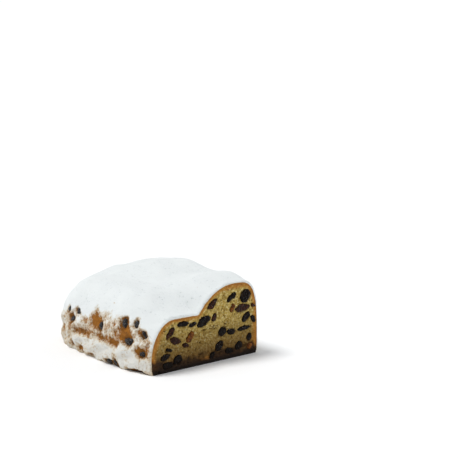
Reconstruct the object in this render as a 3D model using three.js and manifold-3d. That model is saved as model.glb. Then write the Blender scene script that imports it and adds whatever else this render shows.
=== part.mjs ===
// The cut half of a Christmas stollen: a folded loaf of yeast dough, full of raisins and candied peel,
// under a thick coat of icing sugar. Millimetres, +Z up. The cut face looks along +X, the low front
// lobe lies along -Y and the high back lobe along +Y. The loaf rests on its flat bottom at z = 0.
import * as THREE from "three";
import { mergeVertices } from "three/addons/utils/BufferGeometryUtils.js";
import Module from "manifold-3d";

const wasm = await Module();
wasm.setup();

// ---- The loaf's sizes. A list runs from the cut face to the far end in even steps. ----
const LENGTH = 138.4; // from the cut face to the far end
const CUT_X = LENGTH / 2; // the plane of the knife's cut
const CREST_HEIGHT = [61.4, 65.2, 62.1, 65.8, 65.4, 61.4, 57.2]; // top of the back lobe
const CREASE_HEIGHT = [40, 54, 56, 56, 54]; // bottom of the fold between the two lobes
const CREASE_Y = [-7.2, -21.9]; // the fold drifts forward towards the far end
const CREASE_DIP = 1.5; // how much higher the front lobe would stand without the fold
const WAIST = 10.4; // height at which the loaf is widest
const UNDERCUT = 16.3; // how far under the waist the round of the lower edge would close
const BASE_POWER = 4; // squareness of the lower edge
const FOLD_BLEND = 0.03; // softness of the crease
const LEVEL_POWER = 1 / 2.6;
// middle: the lobe's own middle line; reach: from there to its outer side; end...: its round far end
const FRONT = { middle: -32, reach: 22.3, roundness: 2, endLength: 44, endPower: 2.6 };
const FRONT_BULGE = [0.2, 4.8, 2.4, -1.4, -3]; // added to the front lobe's reach
const SHELF_REACH = 55; // how far the front lobe runs in under the back one
const SHELF_POWER = 4; // and how flat it stays there
const BACK = { flank: 55.1, endLength: 30, endPower: 4.3 }; // flank: how far out its outer side is
const BACK_MIDDLE = [28.9, 35.4, 35.4, 35.4, 35.4];
const BACK_ROUNDNESS = [3.8, 4.3, 4.3, 4.3, 4.3];
const SLOPE_POWER = [1.93, 3.14, 3.14, 3.14, 3.14]; // roundness of the back lobe's slope down to the crease

// ---- Relief of the bare crust, which fades out under the sugar. ----
const CRAG_DEPTH = 0.55;
const CRAG_WIDTH = 15;
const CRAG_FADE = [26, 40]; // heights between which the crags die away
const CRAG_START = [2, 14]; // distances behind the cut face over which they come up

// ---- The mesh grid: rays from a spine inside the loaf, then a fan of rays into the far end. ----
const SPINE_Y = 5;
const SPINE_Z = 22;
const FAN_LENGTH = 50; // the last stretch, which the fan covers
const OVERRUN = 0.04; // share of the length by which every skin runs past the cut before it is trimmed
const LOAF_RINGS = 23;
const LOAF_RAYS = 50;
const FAR_AWAY = 130; // safely outside the loaf
const HALVINGS = 26; // halving steps that find the skin along a ray

// ---- The sugar. Angles are in degrees round the spine, 0 along +Y and 90 straight up. ----
const GAP = 0.35; // clearance between the crust and the sugar
const ROOT = 1; // how far a sugar solid reaches into the dough before the dough is cut away from it
const COAT_THICKNESS = 1.3;
const COAT_LUMPS = 0.45;
const COAT_RIM = 0.5; // thickness of the sugar's ragged edge
const COAT_RINGS = 25;
const COAT_COLUMNS = 22;
const COAT_FRONT_EDGE = [168, 162.5, 158.5, 155.5, 157.5, 164, 163, 166, 180];
const COAT_BACK_EDGE = [-9, 2, 7, 0, 9, 3, 10, 6, 0];
const RAGGED_EDGE = 2; // how far the edge wanders, in degrees
// Low drifts of sugar on the loaf's flanks: the side (-1 front, 1 back), the stretch behind the cut face,
// and the heights of the lower and upper edge along it.
const DRIFTS = {
  sugar_drift_front_near: {
    side: -1,
    span: [3, 39],
    low: [3.4, 3.2, 4.2, 5.5],
    high: [10.5, 11.8, 16.2, 15],
  },
  sugar_drift_front_far: {
    side: -1,
    span: [42, 104],
    low: [5.6, 4.8, 5.4, 6.6, 8.4],
    high: [14.6, 15.6, 16, 15, 12.2],
  },
  sugar_drift_back: {
    side: 1,
    span: [30, 96],
    low: [7, 5, 5.5, 7],
    high: [12, 14, 13, 11.5],
  },
};
const DRIFT_THICKNESS = 1.4;
const DRIFT_SWAY = 0.5; // how far a drift wanders up and down
const DRIFT_STEP = 5;
const DRIFT_COLUMNS = 3;

// ---- The fruit. Lengths, thicknesses and places in mm, tilts in degrees. ----
const POCKET_GAP = 0.3; // clearance between a fruit and its hole in the dough
const CUT_PROUD = 0.4; // how far a sliced fruit stands out of the cut face
const RAISIN_DEPTH = 8; // a raisin's size along the loaf; the knife goes through its middle
const FLANK_PROUD = 0.3; // share of a raisin's thickness that stands out of the crust
// In the cut face: y, z, length, thickness, tilt from +Y towards +Z.
const CUT_RAISINS = [
  [42.9, 49.6, 11.8, 9.8, 12],
  [27.8, 50.4, 11, 4.2, 32],
  [7.6, 48, 11.6, 4.2, 34],
  [39.6, 39.7, 14.6, 6.2, 2],
  [51.2, 40.4, 5, 2.6, -25],
  [43.4, 31.7, 9.4, 5.8, 40],
  [51.4, 28.9, 6.6, 3.6, -62],
  [9.6, 36.6, 6.8, 3.7, 66],
  [-1.6, 35.3, 13.6, 6.4, 22],
  [-12.9, 34.4, 7.6, 2.6, 12],
  [-22.6, 36.4, 11.6, 3.9, 0],
  [-35.6, 30.9, 11.2, 4.6, 49],
  [-30.4, 24.4, 11, 4.9, -18],
  [-20, 18.7, 7, 2.9, -19],
  [17.9, 23.8, 9.6, 6.4, 40],
  [27.6, 22.2, 9.6, 4.2, -7],
  [41.6, 22.8, 14.4, 2.8, 4],
  [15.1, 12.6, 9.6, 6.1, 39],
  [7.4, 5.9, 6.6, 4.3, 26],
  [-37.2, 17.6, 6.5, 2.2, -17],
  [-40.4, 12.8, 10.4, 4.2, 12],
  [-28.4, 8.4, 8.4, 7, 36],
  [-38.2, 5.6, 11, 5, -2],
  [35.6, 9.4, 8.6, 5.8, 24],
  [46.6, 14.4, 6.4, 4.6, 70],
  [25.4, 6.4, 9, 4.4, -12],
];
const CUT_PEEL = [
  [-15.4, 25.2, 8.6, 4.7, 50],
  [28.6, 41.4, 6.6, 3.6, 58],
  [47.4, 7, 5.6, 4, 10],
];
// In the crust: side (-1 front, 1 back), distance behind the cut face, z, length, thickness,
// tilt from +X towards +Z.
const FLANK_RAISINS = [
  [-1, 116, 32.6, 8.6, 4.6, 52],
  [-1, 109.6, 25.4, 9.4, 4.4, 30],
  [-1, 99, 34, 9, 6.6, -36],
  [-1, 63.6, 28, 7.6, 5.8, -50],
  [-1, 34, 36.6, 8.4, 6.2, -44],
  [-1, 21.6, 36.8, 6.6, 4.8, -76],
  [-1, 11.6, 30.2, 9.6, 3, -50],
  [-1, 25.4, 23.4, 9.6, 7, 8],
  [-1, 10.6, 15.4, 7.2, 4.6, 2],
  [-1, 50.6, 2.9, 8.6, 4, 2],
  [-1, 41.2, 3.1, 7.6, 3.8, -6],
  [1, 24, 11.5, 8.4, 5.6, 20],
  [1, 52, 23, 9, 6, -30],
  [1, 74, 24, 7.4, 5, 55],
  [1, 96, 19, 9, 6.4, 10],
];

const clamp = THREE.MathUtils.clamp;
const lerp = THREE.MathUtils.lerp;
const radians = THREE.MathUtils.degToRad;

// A smooth run through evenly spaced values, for t from 0 to 1.
function along(values, t) {
  const last = values.length - 1;
  const place = clamp(t, 0, 1) * last;
  const step = Math.min(Math.floor(place), last - 1);
  const u = place - step;
  const [a, b, c, d] = [-1, 0, 1, 2].map((shift) => values[clamp(step + shift, 0, last)]);
  const bend = 2 * a - 5 * b + 4 * c - d;
  const twist = 3 * b - a - 3 * c + d;
  return b + 0.5 * (u * (c - a) + u ** 2 * bend + u ** 3 * twist);
}

// ---- The dough's form ----

// How far into its rounded far end a lobe is at this distance behind the cut.
function endRound(behind, lobe) {
  return Math.max(0, (behind - LENGTH + lobe.endLength) / lobe.endLength) ** lobe.endPower;
}

// A lobe's height term: round above the waist, square below it.
function heightTerm(z, top, power) {
  return z > WAIST ? ((z - WAIST) / (top - WAIST)) ** power : ((WAIST - z) / UNDERCUT) ** BASE_POWER;
}

// Below 0 inside the loaf, above 0 outside.
function doughLevel({ x, y, z }) {
  const behind = CUT_X - x;
  const t = behind / LENGTH;
  const crest = along(CREST_HEIGHT, t);
  const creaseZ = along(CREASE_HEIGHT, t);
  const creaseY = along(CREASE_Y, t);

  const fy = y - FRONT.middle;
  const frontPower = fy < 0 ? FRONT.roundness : SHELF_POWER;
  const frontReach = fy < 0 ? FRONT.reach + along(FRONT_BULGE, t) : SHELF_REACH;
  const front = (endRound(behind, FRONT) + (Math.abs(fy) / frontReach) ** frontPower
    + heightTerm(z, creaseZ + CREASE_DIP, FRONT.roundness)) ** LEVEL_POWER - 1;

  // The back lobe's slope comes down to the crease at the crease's own height.
  const backMiddle = along(BACK_MIDDLE, t);
  const slopePower = along(SLOPE_POWER, t);
  const by = y - backMiddle;
  const backPower = by < 0 ? slopePower : along(BACK_ROUNDNESS, t);
  const drop = clamp((creaseZ - WAIST) / (crest - WAIST), 0, 0.97);
  const slopeReach = (backMiddle - creaseY) / (1 - drop ** slopePower) ** (1 / slopePower);
  const backReach = by < 0 ? slopeReach : BACK.flank - backMiddle;
  const back = (endRound(behind, BACK) + (Math.abs(by) / backReach) ** backPower
    + heightTerm(z, crest, backPower)) ** LEVEL_POWER - 1;

  const mix = clamp(0.5 + 0.5 * (front - back) / FOLD_BLEND, 0, 1);
  return lerp(front, back, mix) - FOLD_BLEND * mix * (1 - mix);
}

// The outward direction at a point of the skin.
function skinNormal(point) {
  const reach = 0.4;
  const slope = (axis) => {
    const ahead = point.clone().setComponent(axis, point.getComponent(axis) + reach);
    const behind = point.clone().setComponent(axis, point.getComponent(axis) - reach);
    return doughLevel(ahead) - doughLevel(behind);
  };
  return new THREE.Vector3(slope(0), slope(1), slope(2)).normalize();
}

// Knobbly crust: two crossed sets of waves, strongest low down on the flanks.
function crags({ x, y, z }) {
  const start = THREE.MathUtils.smoothstep(CUT_X - x, ...CRAG_START);
  const depth = CRAG_DEPTH * start * (1 - THREE.MathUtils.smoothstep(z, ...CRAG_FADE));
  const wave = (2 * Math.PI) / CRAG_WIDTH;
  return depth * (Math.sin(x * wave + z * 0.3) + Math.cos(z * wave * 1.2 - x * 0.2 + y * 0.1));
}

// The point where a ray from inside the loaf meets its skin, moved outward by an offset.
function skinPoint(origin, direction, offset = 0) {
  let inside = 0;
  let outside = FAR_AWAY;
  for (let i = 0; i < HALVINGS; i += 1) {
    const middle = (inside + outside) / 2;
    const isInside = doughLevel(origin.clone().addScaledVector(direction, middle)) < 0;
    [inside, outside] = isInside ? [middle, outside] : [inside, middle];
  }
  const point = origin.clone().addScaledVector(direction, inside);
  return point.addScaledVector(skinNormal(point), offset + crags(point));
}

// The ray at a place u along the loaf (0 at the cut, 1 at the tip of the far end) and at an angle
// round the spine.
function spineRay(u, angle) {
  const straight = 1 - FAN_LENGTH / LENGTH;
  const lift = (Math.PI / 2) * clamp((u - straight) / (1 - straight), 0, 1);
  const origin = new THREE.Vector3(CUT_X - Math.min(u, straight) * LENGTH, SPINE_Y, SPINE_Z);
  const flat = Math.cos(lift);
  return [origin, new THREE.Vector3(-Math.sin(lift), flat * Math.cos(angle), flat * Math.sin(angle))];
}

// ---- Solids ----

// A closed geometry as a solid: equal corners become one, and faces that shrank to nothing go.
function toSolid(geometry) {
  geometry.deleteAttribute("normal");
  geometry.deleteAttribute("uv");
  const merged = mergeVertices(geometry, 1e-3);
  const triVerts = [];
  for (let i = 0; i < merged.index.count; i += 3) {
    const face = [0, 1, 2].map((corner) => merged.index.getX(i + corner));
    if (new Set(face).size === 3) triVerts.push(...face);
  }
  return new wasm.Manifold(new wasm.Mesh({
    numProp: 3,
    vertProperties: new Float32Array(merged.attributes.position.array),
    triVerts: new Uint32Array(triVerts),
  }));
}

function toGeometry(solid) {
  const { vertProperties, triVerts } = solid.getMesh();
  const geometry = new THREE.BufferGeometry();
  geometry.setAttribute("position", new THREE.BufferAttribute(vertProperties, 3));
  geometry.setIndex(new THREE.BufferAttribute(triVerts, 1));
  const faceted = geometry.toNonIndexed();
  faceted.computeVertexNormals();
  return faceted;
}

// A skin through closed loops of equally many points. The first and last loops are shrunk to a point
// or folded to a line, so that the skin closes on itself.
function loft(loops) {
  const count = loops[0].length;
  const index = [];
  for (let i = 0; i < loops.length - 1; i += 1) {
    for (let j = 0; j < count; j += 1) {
      const [a, b] = [i * count + j, i * count + ((j + 1) % count)];
      index.push(a, a + count, b, b, a + count, b + count);
    }
  }
  const geometry = new THREE.BufferGeometry().setFromPoints(loops.flat());
  geometry.setIndex(index);
  return toSolid(geometry);
}

// All loop points moved to their middle.
function shrunk(loop) {
  const middle = loop.reduce((sum, point) => sum.add(point), new THREE.Vector3()).divideScalar(loop.length);
  return loop.map(() => middle.clone());
}

// A flat loop, out along one side and back along the other, closed onto the line between them.
function folded(loop) {
  return loop.map((point, i) => point.clone().add(loop[loop.length - 1 - i]).divideScalar(2));
}

// Everything on the kept side of the knife's cut and above the table.
function keptSpace(proud = 0) {
  const size = 2 * FAR_AWAY;
  const box = new THREE.BoxGeometry(size, size, size);
  box.translate(CUT_X + proud - size / 2, 0, size / 2);
  return toSolid(box);
}

// A lumpy, wrinkled nugget of a given size; a low squareness gives a block, 1 a ball.
function nugget(size, squareness, detail, seed) {
  const geometry = new THREE.IcosahedronGeometry(1, detail);
  const position = geometry.attributes.position;
  const point = new THREE.Vector3();
  for (let i = 0; i < position.count; i += 1) {
    point.fromBufferAttribute(position, i);
    const fold = Math.sin(4.1 * point.x + 3.3 * point.y + seed) * Math.cos(3.7 * point.z - seed);
    const wrinkle = 1 + WRINKLE * fold;
    const corner = [point.x, point.y, point.z].map((v) => Math.sign(v) * Math.abs(v) ** squareness);
    const half = corner.map((v, axis) => 0.5 * wrinkle * v * size[axis]);
    position.setXYZ(i, ...half);
  }
  return geometry;
}

const WRINKLE = 0.09; // how deep the wrinkles of the fruit are, as a share of its radius
const BALL = 1;
const BLOCK = 0.6;
const LARGE_FRUIT = 80; // fruit of a larger face area, in square millimetres, has more faces

// One piece of fruit, given its long axis, its place and its sizes. It comes with the hole it needs.
function fruit({ length, thickness, depth, squareness, seed, turn, at }) {
  const detail = length * thickness < LARGE_FRUIT ? 1 : 2;
  const made = [0, 2 * POCKET_GAP].map((extra) => {
    const size = [depth + extra, length + extra, thickness + extra];
    const geometry = nugget(size, squareness, detail, seed);
    geometry.applyMatrix4(new THREE.Matrix4().makeRotationFromQuaternion(turn));
    geometry.translate(at.x, at.y, at.z);
    return toSolid(geometry);
  });
  return { solid: made[0], pocket: made[1] };
}

// Fruit that the knife went through: flat where it was cut, a little proud of the crumb.
function cutFruit([y, z, length, thickness, tilt], squareness, seed) {
  const turn = new THREE.Quaternion().setFromAxisAngle(new THREE.Vector3(1, 0, 0), radians(tilt));
  const at = new THREE.Vector3(CUT_X, y, z);
  const depth = Math.min(RAISIN_DEPTH, length);
  const piece = fruit({ length, thickness, depth, squareness, seed, turn, at });
  return { solid: piece.solid.intersect(keptSpace(CUT_PROUD)), pocket: piece.pocket };
}

// A raisin half sunk in the crust of a flank, lying flat in its skin.
function flankRaisin([side, behind, z, length, thickness, tilt], seed) {
  const inside = new THREE.Vector3(CUT_X - behind, 0, z);
  const skin = skinPoint(inside, new THREE.Vector3(0, side, 0));
  const out = skinNormal(skin);
  const level = new THREE.Vector3(-1, 0, 0).applyAxisAngle(new THREE.Vector3(0, side, 0), radians(tilt));
  const lengthwise = level.addScaledVector(out, -level.dot(out)).normalize();
  const across = new THREE.Vector3().crossVectors(out, lengthwise);
  const basis = new THREE.Matrix4().makeBasis(out, lengthwise, across);
  const turn = new THREE.Quaternion().setFromRotationMatrix(basis);
  const depth = thickness;
  const at = skin.addScaledVector(out, -depth * (0.5 - FLANK_PROUD));
  return fruit({ length, thickness, depth, squareness: BALL, seed, turn, at });
}

// ---- The pieces ----

// The dough as one blob, before the knife and the table, swollen by an offset.
function doughBlob(offset = 0) {
  const loops = [];
  for (let i = 0; i <= LOAF_RINGS; i += 1) {
    const u = lerp(-OVERRUN, 1, i / LOAF_RINGS);
    const angles = Array.from({ length: LOAF_RAYS }, (_, j) => (2 * Math.PI * j) / LOAF_RAYS);
    loops.push(angles.map((angle) => skinPoint(...spineRay(u, angle), offset)));
  }
  return loft([shrunk(loops[0]), ...loops]);
}

// Soft lumps in the sugar.
function sugarLumps({ x, y }) {
  const broad = Math.sin(x / 7.5 + y / 19) * Math.cos(y / 8.5 - x / 23);
  const fine = Math.sin((x + y) / 4.6);
  return COAT_LUMPS * (broad + 0.5 * fine);
}

// The loop round a strip of sugar: out over its top from edge to edge, and back inside the dough.
function sugarLoop(rays, thickness) {
  const last = rays.length - 1;
  const top = rays.map(([origin, direction], j) => {
    const swell = Math.sin((Math.PI * j) / last) ** 0.4;
    const body = Math.max(COAT_RIM, thickness + sugarLumps(skinPoint(origin, direction)));
    return skinPoint(origin, direction, GAP + lerp(COAT_RIM, body, swell));
  });
  const under = rays.map(([origin, direction]) => skinPoint(origin, direction, -ROOT));
  return [...top, ...under.reverse()];
}

function raggedAngle(u, phase) {
  return RAGGED_EDGE * (Math.sin(u * 41 + phase) + 0.7 * Math.sin(u * 67 + 2 * phase)) * (1 - u);
}

// The coat over the loaf's top, down both flanks and round the far end.
function sugarCoat() {
  const loops = [];
  for (let i = 0; i <= COAT_RINGS; i += 1) {
    const u = lerp(-OVERRUN, 1, i / COAT_RINGS);
    const start = radians(along(COAT_BACK_EDGE, u) + raggedAngle(u, 1));
    const end = radians(along(COAT_FRONT_EDGE, u) + raggedAngle(u, 4));
    const angles = Array.from({ length: COAT_COLUMNS }, (_, j) => lerp(start, end, j / (COAT_COLUMNS - 1)));
    loops.push(sugarLoop(angles.map((angle) => spineRay(u, angle)), COAT_THICKNESS));
  }
  return loft([folded(loops[0]), ...loops]);
}

// A low drift of sugar along one flank.
function sugarDrift({ side, span, low, high }) {
  const steps = Math.round((span[1] - span[0]) / DRIFT_STEP);
  const loops = [];
  for (let i = 0; i <= steps; i += 1) {
    const t = i / steps;
    const x = CUT_X - lerp(...span, t);
    const rays = Array.from({ length: DRIFT_COLUMNS + 1 }, (_, j) => {
      const z = lerp(along(low, t), along(high, t), j / DRIFT_COLUMNS) + DRIFT_SWAY * Math.sin(x / 2.3);
      return [new THREE.Vector3(x, 0, z), new THREE.Vector3(0, side, 0)];
    });
    loops.push(sugarLoop(side < 0 ? rays.reverse() : rays, DRIFT_THICKNESS));
  }
  return loft([folded(loops[0]), ...loops, folded(loops.at(-1))]);
}

const FINISHES = {
  crust: { color: "#b98a4e", roughness: 0.85, metalness: 0 },
  sugar: { color: "#eef1f0", roughness: 1, metalness: 0 },
  raisin: { color: "#1f1411", roughness: 0.35, metalness: 0 },
  peel: { color: "#b8641c", roughness: 0.3, metalness: 0 },
};

const stollen = new THREE.Group();

function addPiece(name, solid, finish) {
  const mesh = new THREE.Mesh(toGeometry(solid), new THREE.MeshStandardMaterial(FINISHES[finish]));
  mesh.name = name;
  stollen.add(mesh);
}

// The pieces of one kind of fruit, named and numbered from 01.
function named(kind, pieces) {
  return pieces.map((piece, i) => ({ ...piece, name: `${kind}_${String(i + 1).padStart(2, "0")}` }));
}

const cutRaisins = named("raisin_cut", CUT_RAISINS.map((row, i) => cutFruit(row, BALL, i)));
const cutPeel = named("peel_cut", CUT_PEEL.map((row, i) => cutFruit(row, BLOCK, i)));
const flankRaisins = named("raisin_crust", FLANK_RAISINS.map(flankRaisin));
const raisins = [...cutRaisins, ...flankRaisins];
const allFruit = [...raisins, ...cutPeel];

const withHoles = (solid, pieces) => pieces.reduce((rest, piece) => rest.subtract(piece.pocket), solid);
const bedOfSugar = doughBlob(GAP);
const trimmed = (sugar) => withHoles(sugar.subtract(bedOfSugar).intersect(keptSpace()), flankRaisins);

addPiece("loaf", withHoles(doughBlob().intersect(keptSpace()), allFruit), "crust");
addPiece("sugar_coat", trimmed(sugarCoat()), "sugar");
Object.entries(DRIFTS).forEach(([name, drift]) => addPiece(name, trimmed(sugarDrift(drift)), "sugar"));
raisins.forEach((piece) => addPiece(piece.name, piece.solid, "raisin"));
cutPeel.forEach((piece) => addPiece(piece.name, piece.solid, "peel"));

// The part's origin is the middle of the bottom of everything together.
const extent = new THREE.Box3().setFromObject(stollen);
const middle = extent.getCenter(new THREE.Vector3());
stollen.position.set(-middle.x, -middle.y, -extent.min.z);

export default stollen;
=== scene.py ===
"""The cut half of a Christmas stollen: a folded fruit loaf under a thick coat of icing sugar.

The loaf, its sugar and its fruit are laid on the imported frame. Sizes in the code are millimetres
unless a name says otherwise; MM turns them to metres.
"""
import math

import bpy
import numpy as np
from mathutils import Matrix, Vector, noise
from mathutils.bvhtree import BVHTree


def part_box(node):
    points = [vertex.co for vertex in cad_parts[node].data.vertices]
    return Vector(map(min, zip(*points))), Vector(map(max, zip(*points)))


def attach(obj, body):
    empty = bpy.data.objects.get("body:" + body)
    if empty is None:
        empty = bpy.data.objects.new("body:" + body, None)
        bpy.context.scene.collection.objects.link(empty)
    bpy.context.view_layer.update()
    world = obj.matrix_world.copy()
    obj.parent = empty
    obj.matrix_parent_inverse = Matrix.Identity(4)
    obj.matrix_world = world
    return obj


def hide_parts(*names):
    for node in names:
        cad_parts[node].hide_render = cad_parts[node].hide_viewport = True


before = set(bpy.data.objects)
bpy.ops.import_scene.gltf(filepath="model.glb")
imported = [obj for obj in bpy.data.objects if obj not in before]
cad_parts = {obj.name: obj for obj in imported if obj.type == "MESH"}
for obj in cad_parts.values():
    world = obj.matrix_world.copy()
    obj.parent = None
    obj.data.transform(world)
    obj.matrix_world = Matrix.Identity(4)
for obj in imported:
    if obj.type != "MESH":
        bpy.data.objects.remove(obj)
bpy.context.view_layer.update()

MM = 0.001

# ---- The loaf's form. A list runs from the cut face to the far end in even steps. ----
LENGTH = 138.4  # cut face to far end
CREST_HEIGHT = [61.4, 65.2, 62.1, 65.8, 65.4, 61.4, 57.2]  # top of the back lobe
CREASE_HEIGHT = [40.0, 54.0, 56.0, 56.0, 54.0]  # bottom of the fold between the lobes
CREASE_Y = [-7.2, -21.9]  # how far forward that bottom lies
CREASE_DIP = 1.5  # the front lobe's own top is this much higher than the crease
WAIST = 10.4  # height at which the loaf is widest
UNDERCUT = 16.3  # the flanks would meet this far below the waist, if the table didn't cut them off
BASE_POWER = 4.0  # how late they turn in: a higher power gives a steeper flank and a sharper turn
FRONT_MIDDLE, FRONT_REACH, FRONT_ROUND = -32.0, 22.3, 2.0  # the front lobe's middle, half width and roundness
FRONT_BULGE = [0.2, 4.8, 2.4, -1.4, -3.0]  # what its half width gains along the loaf
FRONT_END, FRONT_END_POWER = 44.0, 2.6  # the length over which it is rounded off, and how late
SHELF_REACH, SHELF_POWER = 55.0, 4.0  # how far it runs back under the fold, and how flat
BACK_FLANK = 55.1  # the back flank's widest place
BACK_MIDDLE = [28.9, 35.4, 35.4, 35.4, 35.4]  # where the back lobe is highest
BACK_ROUND = [3.8, 4.3, 4.3, 4.3, 4.3]  # roundness of its shoulder
BACK_END, BACK_END_POWER = 30.0, 4.3  # the length over which it is rounded off, and how late
SLOPE_POWER = [1.93, 3.14, 3.14, 3.14, 3.14]  # roundness of its slope down to the crease
HIGHEST_CREASE = 0.97  # over the waist, the crease counts as no higher than this share of the crest
FOLD_BLEND = 0.03  # how softly the lobes run into each other
LEVEL_POWER = 1 / 2.6  # keeps the level from rising too steeply away from the skin
FURTHEST_BACK = 56.16  # the back flank's furthest crag from the form's middle line

# Rays from a spine inside the loaf find its skin. Near the far end they fan out, to reach its tip.
SPINE_Y, SPINE_Z = 5.0, 22.0
FAN_LENGTH = 50.0
FAN_START = 1 - FAN_LENGTH / LENGTH
FAR_AWAY = 130.0  # a ray has left the dough by then
HALVINGS = 24  # of a ray, until the skin is found on it
SLOPE_STEP = 0.4  # to each side of a point, to find which way the skin faces there
WELD = 2e-3  # points of a sheet that lie this close become one
SHARP_ANGLE = 65.0  # edges sharper than this many degrees stay crisp

# The form stands where the frame's loaf stands.
_, loaf_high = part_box("loaf")
CUT_X = loaf_high.x / MM
MIDDLE_Y = loaf_high.y / MM - FURTHEST_BACK
CRUST_RAISINS = sorted(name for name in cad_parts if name.startswith("raisin_crust"))
CUT_FRUIT = sorted(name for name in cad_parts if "_cut_" in name)


def along(values, t):
    """A smooth run through evenly spaced values, for t from 0 to 1."""
    values = np.asarray(values, float)
    last = len(values) - 1
    place = np.clip(t, 0, 1) * last
    step = np.minimum(np.floor(place).astype(int), last - 1)
    u = place - step
    a, b, c, d = (values[np.clip(step + shift, 0, last)] for shift in (-1, 0, 1, 2))
    return b + 0.5 * (u * (c - a) + u**2 * (2 * a - 5 * b + 4 * c - d) + u**3 * (3 * b - a - 3 * c + d))


def smooth(value, low, high):
    """0 below low, 1 above high, and a soft step between."""
    t = np.clip((np.asarray(value, float) - low) / (high - low), 0, 1)
    return t * t * (3 - 2 * t)


def dough_level(points):
    """Below 0 inside the dough, above 0 outside. Points are in mm, in the form's own place."""
    x, y, z = np.moveaxis(points, -1, 0)
    behind = CUT_X - x
    t = behind / LENGTH
    crest, crease_z, crease_y = along(CREST_HEIGHT, t), along(CREASE_HEIGHT, t), along(CREASE_Y, t)
    under = (np.abs(np.minimum(z - WAIST, 0)) / UNDERCUT) ** BASE_POWER

    def end_round(length, power):
        return np.maximum(0, (behind - LENGTH + length) / length) ** power

    def height(top, power):
        return np.where(z > WAIST, (np.maximum(z - WAIST, 0) / (top - WAIST)) ** power, under)

    fy = y - FRONT_MIDDLE
    outer = (np.abs(fy) / (FRONT_REACH + along(FRONT_BULGE, t))) ** FRONT_ROUND
    side = np.where(fy < 0, outer, (np.abs(fy) / SHELF_REACH) ** SHELF_POWER)
    front = end_round(FRONT_END, FRONT_END_POWER) + side + height(crease_z + CREASE_DIP, FRONT_ROUND)

    middle, slope_power = along(BACK_MIDDLE, t), along(SLOPE_POWER, t)
    by = y - middle
    drop = np.clip((crease_z - WAIST) / (crest - WAIST), 0, HIGHEST_CREASE)
    slope_reach = (middle - crease_y) / (1 - drop**slope_power) ** (1 / slope_power)
    power = np.where(by < 0, slope_power, along(BACK_ROUND, t))
    side = (np.abs(by) / np.where(by < 0, slope_reach, BACK_FLANK - middle)) ** power
    back = end_round(BACK_END, BACK_END_POWER) + side + height(crest, power)

    front, back = front**LEVEL_POWER - 1, back**LEVEL_POWER - 1
    mix = np.clip(0.5 + 0.5 * (front - back) / FOLD_BLEND, 0, 1)
    return front + (back - front) * mix - FOLD_BLEND * mix * (1 - mix)


def skin_normal(points):
    """The outward direction at points of the dough's skin."""
    steps = np.eye(3) * SLOPE_STEP
    slopes = [dough_level(points + step) - dough_level(points - step) for step in steps]
    slope = np.stack(slopes, -1) / (2 * SLOPE_STEP)
    return slope / np.maximum(np.linalg.norm(slope, axis=-1, keepdims=True), 1e-9)


def skin_points(origin, direction):
    """Where rays from inside the dough meet its skin."""
    inside = np.zeros(origin.shape[:-1] + (1,))
    outside = np.full_like(inside, FAR_AWAY)
    for _ in range(HALVINGS):
        middle = (inside + outside) / 2
        is_inside = (dough_level(origin + direction * middle) < 0)[..., None]
        inside, outside = np.where(is_inside, middle, inside), np.where(is_inside, outside, middle)
    return origin + direction * inside


def spine_rays(u, angle):
    """Rays at a place u along the loaf (0 at the cut, 1 at the far tip) and an angle round its spine."""
    u, angle = np.broadcast_arrays(u, angle)
    lift = np.pi / 2 * np.clip((u - FAN_START) / (1 - FAN_START), 0, 1)
    origin = np.stack([CUT_X - np.minimum(u, FAN_START) * LENGTH, np.full(u.shape, SPINE_Y),
                       np.full(u.shape, SPINE_Z)], -1)
    flat = np.cos(lift)
    return origin, np.stack([-np.sin(lift), flat * np.cos(angle), flat * np.sin(angle)], -1)


def flank_skin(side, behind, z):
    """The skin of a flank (side -1 front, 1 back) at distances behind the cut and heights."""
    behind, z = np.broadcast_arrays(np.asarray(behind, float), np.asarray(z, float))
    origin = np.stack([CUT_X - behind, np.zeros(z.shape), z], -1)
    return skin_points(origin, np.broadcast_to(np.array([0.0, side, 0.0]), origin.shape))


# ---- Modelling helpers ----

def only(piece):
    """Makes one piece the selected and active one."""
    bpy.ops.object.select_all(action="DESELECT")
    piece.select_set(True)
    bpy.context.view_layer.objects.active = piece


def modified(piece, kind, **settings):
    """Adds a modifier with its settings and applies it."""
    only(piece)
    modifier = piece.modifiers.new(kind.lower(), kind)
    for name, value in settings.items():
        setattr(modifier, name, value)
    bpy.ops.object.modifier_apply(modifier=modifier.name)


def points_of(piece):
    """The piece's vertices in mm, in the form's own place."""
    flat = np.empty(len(piece.data.vertices) * 3, np.float32)
    piece.data.vertices.foreach_get("co", flat)
    return flat.reshape(-1, 3).astype(float) / MM - [0, MIDDLE_Y, 0]


def set_points(piece, points):
    """Moves the piece's vertices to places given in mm, in the form's own place."""
    flat = ((points + [0, MIDDLE_Y, 0]) * MM).astype(np.float32)
    piece.data.vertices.foreach_set("co", flat.ravel())
    piece.data.update()


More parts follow.
